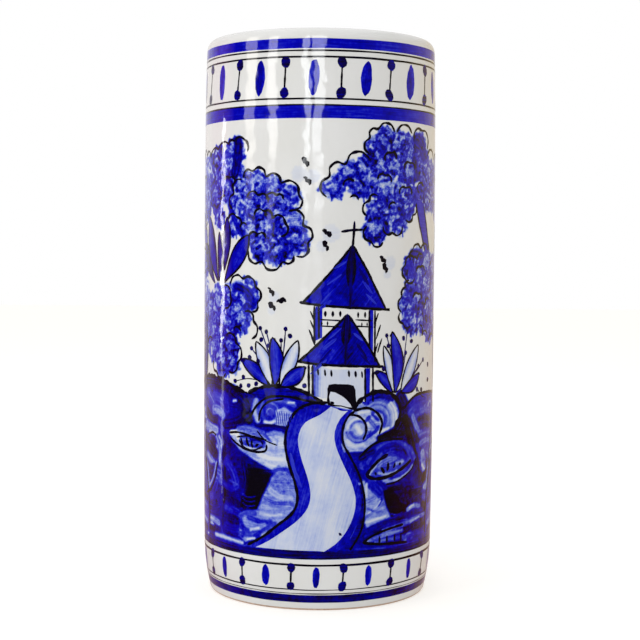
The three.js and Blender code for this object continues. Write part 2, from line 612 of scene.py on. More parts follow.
def brushwork():
    """Cobalt and liner under the glaze, read from the paint and stroke attributes of a painted piece."""
    shader = Shader("cobalt_brushwork")
    tone, mottle, _ = shader.split(shader.attribute("paint"))
    stretched = shader.node("VectorMath", 0, {0: shader.attribute("stroke"), 1: (0.05, 1.0, 1.0)},
                            operation="MULTIPLY")
    bristles = shader.around(shader.noise(1.5, 3.0, 0.6, stretched), 0.42)
    sponging = shader.maths("MULTIPLY", shader.around(shader.noise(0.0038, 4.0, 0.62), 4.0), mottle)
    pooled = shader.around(shader.noise(0.016, 2.0), 0.22)
    change = shader.maths("ADD", shader.maths("ADD", bristles, sponging), pooled)
    present = shader.maths("MULTIPLY", tone, 4.0, clamp=True)
    thickness = shader.maths("ADD", tone, shader.maths("MULTIPLY", change, present))
    return shader.glaze(shader.ramp(thickness, [
        (BARE, GLAZE_WHITE), (PALE, (0.44, 0.50, 0.67)), (LIGHT, (0.17, 0.23, 0.60)),
        (MID, (0.030, 0.045, 0.50)), (COBALT, (0.0008, 0.0012, 0.42)), (DEEP, (0.0006, 0.0005, 0.22)),
        (NAVY, (0.003, 0.001, 0.050)), (1.00, (0.003, 0.002, 0.005))]))


def bare_clay():
    shader = Shader("bare_clay")
    grain = shader.noise(0.0016, 4.0, 0.7)
    colour = shader.ramp(grain, [
        (0.3, (0.33, 0.22, 0.16)), (0.5, (0.46, 0.33, 0.25)), (0.7, (0.56, 0.43, 0.34))])
    return shader.surface(Base_Color=colour, Roughness=0.85, Normal=shader.bump(grain, 0.0003))


# ---------------------------------------------------------------- the painter's strokes

def leaf(film, base, tip, width, tone, rim, bend=0.0, outline=0.0, fullness=0.8, layer=FILL):
    """A leaf from base to tip in two tones, rim towards its edges, with a liner outline if it has one.

    Its middle line is bowed to the left by bend, and more fullness puts its widest place further out."""
    base, tip = np.asarray(base, float), np.asarray(tip, float)
    span = tip - base
    length = np.linalg.norm(span)
    side = np.array([-span[1], span[0]]) / length
    t = np.linspace(0, 1, 13)[:, None]
    middle = base + t * span + bend * np.sin(math.pi * t) * side
    half = width / 2 * np.abs(np.sin(math.pi * t ** fullness)) ** 0.75 * side
    shape = np.concatenate([middle - half, (middle + half)[-2:0:-1]])

    def shade(places):
        along = np.clip((places - base) @ span / length ** 2, 0, 1)
        across = (places - base) @ side - bend * np.sin(math.pi * along)
        return tone + (rim - tone) * np.clip(np.abs(across) / (width / 2), 0, 1) ** 1.5

    film.fill(shape, shade, layer, math.degrees(math.atan2(span[1], span[0])), cell=2.5)
    if outline:
        film.line(shape, outline, layer=layer + 0.8, closed=True)


def leaves(film, *rows):
    for row in rows:
        leaf(film, *row)


def scallops(film, valleys, bulge=0.4):
    """A liner drawn round leaf lobes: arcs between the valleys, each bowed to the left of its way."""
    valleys = np.reshape(valleys, (-1, 2)).astype(float)
    path = []
    for start, end in zip(valleys[:-1], valleys[1:]):
        step = end - start
        side = np.array([-step[1], step[0]]) * bulge * 0.8
        path += [start, start + step * 0.28 + side, start + step * 0.72 + side]
    film.line([*path, valleys[-1]], 1.6, wobble=0.3)


def dashes(film, places, height, width, lean=0.0):
    """Short upright liner touches, each from its foot."""
    for s, z in places:
        film.line([(s, z), (s + lean, z + height)], width, taper=1.2)


# ---------------------------------------------------------------- the borders

UNITS = 14
UNIT = TURN / UNITS


def border_row(film, first, low, high, oval_width, dot, lean):
    """Ovals and pairs of dots joined by a stick, turn about, between two heights."""
    middle, reach = (low + high) / 2, (high - low) / 2
    for i in range(UNITS):
        s = first + i * UNIT + random.uniform(-1.5, 1.5)
        slant = random.uniform(-0.4, 0.9) * lean
        top = middle + reach * random.uniform(0.86, 0.95)
        foot = middle - reach * random.uniform(0.86, 0.95)
        angle = 90 - math.degrees(math.atan2(2 * slant, top - foot))
        width = oval_width * random.uniform(0.85, 1.1)
        film.blot((s, middle), top - foot, width, DEEP + random.uniform(-0.1, 0.04), angle)
        s += UNIT / 2
        slant = random.uniform(0.2, 1.1) * lean
        ends = [(s + slant, middle + reach * 0.78), (s - slant, middle - reach * 0.78)]
        film.line([(ends[0][0], high - 0.4), *ends], 1.3, layer=OVER)
        for end in ends:
            film.dab(end, dot * random.uniform(1.0, 1.25), dot * random.uniform(0.85, 1.0), NAVY - 0.03,
                     random.uniform(50, 130))


def build_top_border(paint):
    film = Film("painted_top_border")
    film.band(489.6, RIM_LOW / MM - 0.1, COBALT + 0.02)
    film.rules((487.7, 1.4), (482.3, 1.6), (446.6, 1.5), (441.2, 1.3))
    film.band(429.9, 440.8, COBALT + 0.02)
    border_row(film, -7, 448, 481.5, 10, 8.8, 2.2)
    film.build(paint)


def build_base_border(paint):
    film = Film("painted_base_border")
    film.rules((46.9, 0.9), (41.3, 1.9), (19.0, 1.0), (15.5, 0.7))
    film.band(FOOT_TOP / MM + 0.2, 14.3, DEEP + 0.05)
    border_row(film, 0, 19.8, 41, 7.4, 7.8, 0.6)
    film.build(paint)


# ---------------------------------------------------------------- the chapel and the path

def build_chapel(paint):
    film = Film("painted_chapel")
    for left, right in (
            ([(29, 321), (12, 300), (-3, 283), (-14, 271)], [(29, 321), (42, 300), (53, 280), (62, 265)]),
            ([(25, 261), (11, 247), (-4, 232), (-17, 220)], [(25, 261), (36, 246), (46, 231), (56, 215)])):
        eaves = [left[-1], (left[-1][0] + 20, left[-1][1] - 2.5), right[-1]]
        outline = np.concatenate([smooth(left, spacing=6), smooth(eaves, spacing=6)[1:-1],
                                  smooth(right, spacing=6)[:0:-1]])
        middle = left[0][0]
        low = right[-1][1]
        film.fill(outline, lambda places: COBALT + 0.04 + 0.1 * np.exp(-((places[:, 0] - middle) / 8) ** 2),
                  OVER, 52, 0.1)
        for side in (left, right):
            film.line(side, 1.8)
        film.line([(left[-1][0] - 3, left[-1][1] + 0.5), *eaves[1:], (right[-1][0] + 1, low)], 1.9)
        film.line([left[0], (middle - 1, low + 24), (middle - 1.5, low + 2)], 2.0, NAVY, layer=DOT)
        leaf(film, (middle - 2, low + 18), (middle, left[0][1] + 1), 9, NAVY, BLACK, layer=DOT)
        for i in range(7):
            share = 0.25 + 0.1 * i
            foot = right[-1] if i % 2 else left[-1]
            start = (middle + (foot[0] - middle) * share * 0.5, left[0][1] + (low - left[0][1]) * share)
            end = (middle + (foot[0] - middle) * (share * 0.6 + 0.25), start[1] - random.uniform(6, 16))
            width = random.uniform(1.2, 2.6)
            film.line([start, end], width, random.choice([MID + 0.07, MID + 0.11, DEEP + 0.05]), taper=8)
    film.lines((1.7, 30.5, 342, 30, 332, 29, 319), (1.7, 18.5, 332.5, 28, 334, 38.5, 334.5))
    # Upper storey: posts, balcony rails and rows of dashes for openings
    film.fill([(-3, 238), (-3, 268), (3, 267), (3, 241)], COBALT, FILL, 90)
    film.fill([(45.5, 218), (45.5, 265), (49, 265), (49, 218)], COBALT - 0.03, FILL, 90)
    for s, low, high in ((-4, 235, 268.5), (-0.2, 240, 268), (45, 232, 265), (50.5, 219, 265)):
        film.line([(s, high), (s + 0.4, low)], 1.5)
    for z in (256, 250.5):
        film.line([(1, z + 0.6), (20, z - 0.3)], 1.0)
        film.line([(32, z + 0.4), (48, z - 0.6)], 1.0)
    dashes(film, [(5.5, 259), (12, 259), (18.5, 259), (34.5, 258), (41, 258)], 5.2, 1.9)
    dashes(film, [(2.5, 251.5), (7.5, 251.5), (38, 250.5), (43, 250.5)], 3.6, 1.4)
    for s, z in ((-7.5, 264), (-7.5, 256), (-8.5, 248), (-6.5, 242)):
        film.line([(s, z), (s + 4, z - 9)], 1.2, taper=4)
    for s, z in ((54, 262), (56.5, 252), (58, 240), (54, 236)):
        film.line([(s, z), (s - 3, z - 8), (s - 4.5, z - 13)], 1.2, taper=4)
    # Lower storey: corner posts, dashes and the open door
    film.fill([(-5, 190), (-5, 218), (4, 217), (3, 189)],
              lambda places: MID - 0.055 * (places[:, 0] + 4), FILL, 90)
    film.fill([(2, 188), (3, 216), (44, 214), (44, 184)], 0.1, FILL, 90, 0.03)
    film.fill([(41.5, 182), (42, 214), (46.5, 214), (46, 182)], COBALT, OVER, 90)
    for s, low, high in ((-8.5, 191, 218), (-5.2, 189, 217), (41.5, 184, 214), (49, 184, 215)):
        film.line([(s, high), (s + 0.5, low)], 1.6)
    dashes(film, [(0, 208), (6, 207.5), (11.5, 207), (27, 206.5), (33, 206), (39, 205.5)], 6, 1.5, -0.6)
    door = smooth((8.5, 182, 8, 192, 9, 200, 20, 200.5, 31, 199, 33, 190, 32.5, 178, 20, 181), closed=True,
                  spacing=4)
    film.fill(door, BLACK, OVER, 0, 0.02)
    ajar = smooth((10.5, 184, 10.5, 194, 19, 191, 25, 186.5, 29.5, 180, 20, 182), True, 4)
    film.fill(ajar, 0.1, LINE, 30, 0.03)
    film.build(paint)


PATH_LEFT = (11, 181, 2, 174, -11, 167, -16.5, 157, -17, 147, -13.5, 133, -8.5, 118, -6, 104, -8.5, 92,
             -17, 81, -31, 70, -44, 61, -57, 54)
PATH_RIGHT = (26, 177, 19, 170, 14.5, 159, 15.5, 147, 22, 131, 30, 114, 34, 98, 31.5, 83, 25, 70, 16, 60,
              6, 53.5)


def path_wash(places):
    """The tone of the path: thin blue, laid in broad diagonal sweeps."""
    s, z = places.T
    sweeps = np.sin(s / 7 + z / 11) * np.sin(z / 17 - s / 23 + 1) + 0.6 * np.sin(s / 3.1 - z / 13)
    return 0.15 + 0.035 * sweeps


def build_path(paint, name, origin, mirror):
    """The winding path to the door, between two dark banks."""
    film = Film(name, origin, mirror)
    left, right = smooth(PATH_LEFT, spacing=4), smooth(PATH_RIGHT, spacing=4)
    film.fill(np.concatenate([left, right[::-1]]), path_wash, FILL, 75, 0.05, 2.4)
    left_bank = (-2, 184, -14, 178, -23, 169, -27, 157, -27.5, 145, -24, 129, -18.5, 113, -16.5, 100,
                 -19, 90, -28, 81, -42, 71, -55, 62, -72, 53)
    right_bank = (30, 178, 24, 170, 19.5, 159, 20.5, 147, 27, 132, 35.5, 115, 39.5, 98, 37, 82, 31, 68,
                  25, 59, 17, 53)
    for edge, bank in ((left, left_bank), (right, right_bank)):
        outside = smooth(bank, spacing=4)
        film.fill(np.concatenate([edge, outside[::-1]]),
                  lambda places: COBALT + 0.04 * np.sin(places[:, 1] / 9), OVER, 75, 0.09)
    film.lines(
        (2.0, 14, 184, 0, 184.5, -13, 181, -22, 173, -27.5, 160, -28.5, 146, -25, 129, -19.5, 113, -17.5, 99,
         -22, 87, -36, 75, -50, 64, -66, 55),
        (1.7, 33, 177, 25.5, 171, 21.5, 160, 22.5, 148, 29, 136, 37, 120, 41.5, 104, 42.5, 88, 39, 70,
         29, 54))
    film.line((-24, 140, -20, 124, -14, 110), 2.6, MID + 0.04, taper=12)
    film.line((19, 70, 21.5, 67.5), 1.8, NAVY)
    film.build(paint)


# ---------------------------------------------------------------- trees, plants and birds

def tree_crown_left(film, sheet):
    """The inner crown of the left tree, with its plume behind and the long leaves of its trunk."""
    sheet.foliage([(-84, 402, 12), (-92, 388, 13), (-82, 384, 11), (-94, 370, 11), (-108, 396, 12),
                   (-118, 382, 13), (-112, 364, 14), (-130, 372, 12), (-106, 346, 9), (-126, 394, 8)],
                  COBALT - 0.04, 0.36)
    sheet.foliage([(-70, 370, 14), (-56, 372, 11), (-42, 368, 12), (-28, 362, 11), (-76, 354, 14),
                   (-58, 352, 13), (-38, 350, 13), (-84, 338, 9), (-66, 334, 11), (-46, 332, 14),
                   (-26, 338, 13), (-20, 324, 11), (-36, 318, 13), (-52, 318, 11)], MID - 0.02, 0.34)
    sheet.stroke((-79, 411, -80, 397, -83, 384), 11, DEEP + 0.04, 0.85, 2, 0.15)
    sheet.stroke((-90, 356, -84, 344, -74, 332), 6, DEEP, 0.7, 2, 0.15)
    for valleys in (
            (-72, 379, -62, 385, -48, 380, -34, 374), (-34, 374, -18, 364, -22, 351),
            (-27, 350, -14, 338, -10, 322, -20, 311), (-22, 312, -32, 306, -52, 306, -66, 316),
            (-68, 362, -56, 364, -46, 357), (-60, 346, -50, 350, -42, 344, -30, 340, -34, 328),
            (-86, 352, -84, 366, -74, 378), (-92, 342, -80, 345, -76, 336, -68, 338),
            (-66, 326, -56, 330, -48, 326), (-48, 360, -38, 364, -32, 360)):
        scallops(film, valleys)
    for valleys in (
            (-126, 399, -108, 406, -92, 410, -84, 412, -72, 413, -68, 402), (-98, 378, -90, 380, -82, 376),
            (-104, 360, -96, 364)):
        scallops(film, valleys, 0.25)
    leaves(film, ((-97, 287), (-66, 329), 16, COBALT, DEEP, -1, 1.5, 1.35, DOT),
           ((-97, 298), (-93, 345), 11, DEEP, NAVY, -1, 1.2, 1.2, OVER),
           ((-108, 288), (-127, 346), 17, COBALT + 0.03, NAVY, 3, 1.2, 1.3, OVER),
           ((-106, 288), (-106, 332), 9, DEEP, NAVY, -2, 1.0, 1.2, FILL),
           ((-114, 286), (-140, 326), 12, DEEP, NAVY, 3, 1.0, 1.2, FILL))


def tree_skirt_left(film, sheet):
    sheet.foliage([(-69, 277, 14), (-88, 276, 10), (-76, 256, 13), (-92, 250, 12), (-88, 230, 11),
                   (-98, 216, 13), (-86, 216, 9), (-108, 270, 14), (-112, 248, 15), (-118, 228, 12),
                   (-128, 262, 14), (-136, 240, 12), (-142, 276, 12)], MID + 0.08, 0.3)
    sheet.stroke((-80, 284, -68, 280, -60, 270), 9, DEEP, 0.8, 2.5, 0.15)
    for valleys in (
            (-88, 286, -72, 291, -58, 284, -56, 270, -62, 262), (-70, 262, -60, 254, -62, 238),
            (-94, 240, -80, 234, -78, 216, -90, 208), (-94, 206, -110, 206, -116, 216),
            (-98, 284, -88, 276, -96, 264), (-84, 246, -74, 244), (-132, 226, -120, 236)):
        scallops(film, valleys, 0.35)


def tree_crown_right(film, sheet):
    """The right tree's crown, with an arm reaching inwards and a long trunk leaf."""
    sheet.foliage([(12, 370, 9), (26, 382, 11), (36, 372, 10), (40, 388, 9), (52, 404, 12), (60, 414, 10),
                   (76, 410, 12), (88, 404, 14), (60, 392, 14), (74, 388, 14), (50, 378, 12), (62, 370, 13),
                   (80, 374, 13), (94, 384, 14), (88, 362, 12), (52, 350, 10), (50, 334, 11), (66, 346, 12),
                   (76, 342, 10), (84, 354, 10), (104, 410, 12), (112, 396, 12), (108, 376, 13),
                   (128, 386, 13), (136, 366, 13), (122, 362, 9), (144, 384, 10)], MID + 0.02, 0.34)
    sheet.stroke((100, 414, 108, 410, 112, 402), 15, DEEP, 0.75, 3, 0.15)
    sheet.stroke((97, 396, 100, 384, 106, 374), 9, DEEP, 0.8, 3, 0.15)
    sheet.stroke((104, 377, 98, 375), 4, 0.1, 0.8, 1.5, 0.05)
    for valleys in (
            (6, 362, 8, 380, 22, 391, 44, 396), (44, 400, 44, 414, 52, 422, 70, 420), (72, 420, 92, 420),
            (95, 414, 108, 424, 120, 408), (120, 402, 140, 400), (58, 324, 46, 324, 42, 338),
            (42, 346, 44, 360, 52, 364), (80, 338, 68, 332, 58, 338), (98, 358, 94, 348, 84, 344),
            (60, 394, 66, 402, 72, 396), (52, 378, 60, 382, 66, 376), (20, 372, 30, 376), (26, 362, 34, 360),
            (76, 366, 84, 372, 92, 366), (100, 372, 112, 374), (64, 352, 72, 358),
            (82, 388, 90, 394, 96, 388)):
        scallops(film, valleys)
    film.fill(smooth((99, 359, 106, 362, 113, 357, 119, 340, 127, 317, 115, 317, 105, 340), True), COBALT,
              OVER)
    film.line((99, 359, 105, 340, 116, 317), 1.5, layer=DOT)
    film.line((113, 357, 119, 340, 127, 317), 1.5, layer=DOT)


def tree_skirt_right(film, sheet):
    sheet.foliage([(92, 302, 11), (104, 310, 10), (94, 286, 10), (90, 268, 12), (96, 252, 10),
                   (108, 292, 13), (106, 272, 13), (112, 254, 11), (122, 306, 11), (124, 284, 14),
                   (126, 262, 14), (130, 244, 11), (142, 300, 12), (144, 276, 14), (148, 252, 12),
                   (88, 252, 7)], MID, 0.32)
    sheet.stroke((94, 314, 102, 314, 110, 312), 9, DEEP, 0.8, 2, 0.15)
    sheet.stroke((88, 304, 94, 300, 98, 294), 9, COBALT, 0.85, 2, 0.15)
    for valleys in (
            (98, 292, 84, 292, 84, 304, 96, 311), (92, 308, 94, 317, 108, 319, 124, 317),
            (94, 308, 102, 309, 110, 313), (84, 284, 90, 290), (80, 262, 80, 276, 86, 284),
            (92, 250, 82, 252, 78, 262), (108, 250, 112, 240, 124, 241), (100, 296, 108, 302, 116, 298),
            (96, 274, 104, 278, 110, 272), (118, 268, 128, 272), (128, 234, 150, 233)):
        scallops(film, valleys, 0.35)


def plant(film, base, leaves, stalks):
    """A fan of leaves from one foot, given by their tips, with dotted stalks between them."""
    for i, (tip, width, bend, is_blue) in enumerate(leaves):
        layer = FILL + 1.6 * i
        foot = np.array((base[0] + 0.2 * (tip[0] - base[0]), base[1]))
        tone, rim = (MID + 0.08, DEEP + 0.06) if is_blue else (0.03, LIGHT + 0.08)
        leaf(film, foot, tip, width, tone, rim, bend, 1.2, 1.1, layer)
        if is_blue:
            film.dab(tip + 0.05 * (foot - tip), 6, 4, NAVY, 20)
    for tip in stalks:
        film.line([base, ((base[0] + tip[0]) / 2 + 2, (base[1] + tip[1]) / 2), tip], 0.9, NAVY, FILL)
        film.dab(tip, 4.2, 3.6)


def build_birds(paint, sheet):
    """Flocks of small birds, and the pale blots behind some of them."""
    film = Film("painted_birds")
    bird = np.array([(-3, 3.5), (-0.5, 2.5), (-0.5, 0.5), (2.2, -0.5), (1.8, -4)])
    for s, z, turn in ((-13, 392, 0), (-11, 376, 5), (6, 331, 15), (5, 320, -8), (-43, 280, 0),
                       (-42, 267, 10), (-33, 272, 60), (58, 308, 5), (60, 301, -10), (BACK + 92, 394, 10),
                       (BACK + 98, 384, -8), (BACK + 70, 320, 5), (BACK + 66, 308, 20),
                       (BACK - 104, 330, 12)):
        film.line(bird @ np.stack(heading_and_side(turn)) + (s, z), 2.6, wobble=0.35)
    for s, z, radius in ((BACK + 98, 392, 6), (BACK + 64, 316, 6), (-18, 382, 7), (-6, 380, 6), (2, 320, 5),
                         (10, 331, 8), (-40, 276, 5), (-42, 264, 4), (66, 306, 6), (63, 296, 4)):
        sheet.touch((s, z), radius, 0.06, 0.9, 0.02, 0.1)
    film.build(paint)


# ---------------------------------------------------------------- the hills

GROUND_TOP = [(-168, 190), (-150, 197), (-128, 201), (-108, 201), (-92, 198), (-78, 193), (-66, 190),
              (-54, 195), (-38, 197), (-20, 195), (-6, 190), (4, 184), (30, 178), (40, 187), (52, 192),
              (66, 190), (76, 184), (86, 178), (98, 185), (114, 187), (140, 186), (168, 184)]


def scumble(sheet, s_range, z_range, count):
    """Loose overlapping brushwork: short bowed sweeps of thick and thin paint."""
    for _ in range(count):
        s, z = random.uniform(*s_range), random.uniform(*z_range)
        length, rise = random.uniform(8, 24), random.uniform(-9, 9)
        bow = random.uniform(-5, 5)
        tone = random.choice([PALE, LIGHT, MID, COBALT, COBALT, DEEP, DEEP, NAVY, NAVY])
        sheet.stroke([(s - length / 2, z - rise / 2), (s, z + bow), (s + length / 2, z + rise / 2)],
                     random.uniform(2.5, 9), tone, random.uniform(0.4, 0.9), 1.6, 0.12)


def lay_strokes(sheet, strokes, soft=1.6):
    """Brush strokes, each given as its width, its tone and then its points."""
    for width, tone, *path in strokes:
        sheet.stroke(path, width, tone, 0.92, soft, 0.1)


def fan(sheet, centre, radii, angles, tones, width):
    """Strokes curved round one centre, such as a mound's shading; angles are in degrees."""
    turns = np.radians(np.linspace(*angles, 7))
    ring = np.stack([np.cos(turns), np.sin(turns)], axis=1)
    for radius, tone in zip(np.linspace(*radii, len(tones)), tones):
        sheet.stroke(ring * radius + centre, width, tone, 0.85, 1.4, 0.08)


def wash_left_hills(sheet):
    sheet.area((-100, 172, -92, 152, -84, 144, -60, 132, -44, 122, -50, 104, -56, 88, -60, 60, -100, 60),
               DEEP + 0.03, 0.85, 3)
    lay_strokes(sheet, (
        (9, NAVY, -140, 194, -118, 196, -98, 194, -80, 188), (14, NAVY, -84, 190, -70, 181, -64, 168),
        (10, NAVY, -66, 170, -76, 164, -94, 160), (6, NAVY, -66, 186, -58, 176),
        (9, MID + 0.04, -114, 184, -104, 183, -96, 180), (8, COBALT, -97, 186, -92, 174),
        (8, MID, -130, 186, -120, 181, -112, 174), (9, DEEP, -136, 176, -124, 170),
        (9, LIGHT + 0.04, -115, 171, -106, 172, -99, 168), (4, LIGHT - 0.1, -110, 171, -102, 169),
        (2.6, 0.05, -83, 182, -80, 182.5), (6, COBALT, -104, 162, -98, 152),
        (9, NAVY, -132, 168, -122, 162, -112, 161), (9, LIGHT, -134, 156, -122, 154, -110, 153),
        (3, LIGHT - 0.14, -126, 150, -112, 149), (6, MID - 0.06, -110, 147, -105, 140, -104, 128),
        (3, PALE, -105, 148, -101, 144), (4, LIGHT, -103, 134, -104, 122),
        (5, LIGHT + 0.08, -118, 136, -110, 133), (11, NAVY, -134, 142, -122, 138, -112, 132),
        (8, LIGHT, -132, 128, -124, 125, -116, 122), (12, NAVY, -142, 112, -126, 113, -115, 116),
        (3, LIGHT - 0.1, -140, 92, -126, 100, -116, 110, -110, 124),
        (7, COBALT, -136, 86, -120, 92, -110, 104), (9, DEEP, -138, 80, -118, 80, -104, 84),
        (6, LIGHT, -138, 70, -120, 71, -106, 69), (2.5, PALE, -130, 70, -118, 71),
        (6, NAVY, -142, 62, -120, 62, -104, 62), (3.5, PALE, -112, 57.5, -92, 57.5, -72, 56),
        (5, NAVY, -97, 150, -95, 110, -97, 70), (9, COBALT, -92, 126, -84, 118, -80, 110),
        (6, COBALT, -96, 106, -86, 103, -78, 106), (2, MID, -88, 110, -78, 108),
        (4, NAVY, -96, 92, -84, 93, -76, 91), (7, COBALT, -94, 85, -84, 84, -76, 82),
        (3.5, NAVY, -96, 77, -84, 78, -76, 76), (7, COBALT, -94, 68, -84, 67, -76, 68)), 2.2)
    # The mound under the left plant
    sheet.area((-66, 190, -54, 195, -38, 197, -20, 195, -4, 188, -12, 180, -24, 168, -28, 150, -52, 150,
                -60, 164), DEEP - 0.02, 1, 1.5)
    fan(sheet, (-34, 158), (31, 23), (150, 60), (COBALT + 0.04, MID, COBALT), 4)
    sheet.touch((-44, 176), 10, COBALT, 1, 0.15, 0.1)
    fan(sheet, (-43, 175), (8, 3), (230, 10), (MID, COBALT, MID - 0.04), 2.2)
    lay_strokes(sheet, (
        (5.5, LIGHT - 0.06, -57, 184, -59, 176, -55, 167), (3, MID, -50, 184, -54, 174),
        (1.6, 0.05, -26, 184, -21, 184), (3.4, 0.1, -48, 166, -42, 165.5, -39, 167)))
    sheet.area((-38, 163, -38, 176, -30, 180, -20, 174, -21, 163), LIGHT - 0.04, 1, 1)
    # The pale lens-shaped field below it
    sheet.area((-89, 153, -76, 159, -58, 159, -46, 152, -32, 158, -27, 148, -26, 136, -22, 127, -36, 122,
                -58, 131, -76, 140), LIGHT - 0.12, 1, 1.2)
    lay_strokes(sheet, (
        (4.5, 0.02, -86, 153.5, -80, 154, -77, 150), (4.5, MID, -77, 158, -64, 159.5, -50, 156),
        (3, LIGHT + 0.06, -74, 154, -62, 155, -50, 152), (7, MID, -72, 149, -60, 149, -50, 146),
        (3.5, DEEP, -62, 150, -54, 150, -49, 148), (2.6, COBALT, -70, 145, -58, 143.5, -50, 144),
        (3, LIGHT + 0.04, -84, 147, -70, 138.5, -54, 134), (6, PALE, -44, 151, -36, 148, -28, 150),
        (4, LIGHT, -45, 155, -38, 157, -30, 155), (2, LIGHT + 0.08, -41, 154, -36, 150, -37, 144),
        (2.5, MID, -48, 154, -42, 149), (5, PALE - 0.04, -54, 137, -42, 134, -28, 134),
        (5, PALE, -46, 129, -34, 127, -26, 129), (2.5, LIGHT, -46, 141, -36, 141, -28, 142)), 1.2)
    # The slope between the dark cutting and the path
    sheet.area((-36, 125, -22, 127, -17, 108, -18, 94, -30, 80, -48, 68, -68, 57, -76, 62, -74, 80, -56, 88,
                -48, 106), LIGHT + 0.03, 1, 1.5)
    sheet.touch((-31, 116), 12.5, LIGHT + 0.08, 1, 0.15, 0.06)
    fan(sheet, (-31, 114), (11.5, 7), (150, 30), (COBALT, MID), 2.6)
    lay_strokes(sheet, (
        (5, LIGHT - 0.12, -42, 106, -34, 101, -24, 100), (3, MID, -48, 99, -38, 95, -24, 95),
        (5, LIGHT, -50, 91, -38, 90, -24, 91), (3.5, LIGHT - 0.14, -52, 85, -42, 83.5, -32, 85),
        (4.5, COBALT, -64, 80, -52, 77, -42, 78), (3, LIGHT + 0.05, -72, 74, -60, 73, -48, 75),
        (2.5, PALE, -62, 69.5, -54, 71.5), (5, MID + 0.06, -74, 64, -62, 65, -54, 67),
        (4, COBALT, -74, 76, -70, 68, -72, 62), (3, COBALT, -58, 64, -48, 71, -38, 77),
        (2, PALE, -66, 60, -58, 62), (5, MID + 0.05, -74, 80, -66, 84, -58, 84),
        (4, COBALT, -73, 70, -66, 68)), 1.2)
    sheet.area((-66, 128, -40, 121, -48, 104, -56, 88, -74, 88, -72, 104), BLACK, 0.96, 2.5, 0.04)
    sheet.stroke((-71, 128, -68, 112, -72, 100), 6, NAVY - 0.04, 0.8, 3, 0.1)
    for i in range(3):
        sheet.stroke([(-71, 92 + 4 * i), (-66, 89.5 + 4 * i), (-58, 91 + 4 * i)], 1.0, LIGHT, 0.5, 0.8, 0.02)


def wash_side_mound(sheet, middle, angles):
    """Half of a round hill under the side trees, the other half being its mirror image."""
    turns = np.radians(np.linspace(*angles, 9))
    dome = np.stack([middle + 42 * np.cos(turns), 56 + 88 * np.sin(turns)], axis=1)
    sheet.area([*dome, (middle, 56)], COBALT + 0.04, 0.9, 2)
    fan(sheet, (middle, 100), (40, 8), angles, (LIGHT, MID, DEEP, COBALT, LIGHT, MID, DEEP, PALE, COBALT), 4)
    outwards = math.cos(turns[0])
    for z, tone in ((92, NAVY), (85, MID), (78, COBALT), (71, LIGHT), (64, NAVY)):
        path = [(middle, z), (middle + 16 * outwards, z - 2), (middle + 34 * outwards, z - 5)]
        sheet.stroke(path, 5, tone, 0.92, 1.6, 0.1)


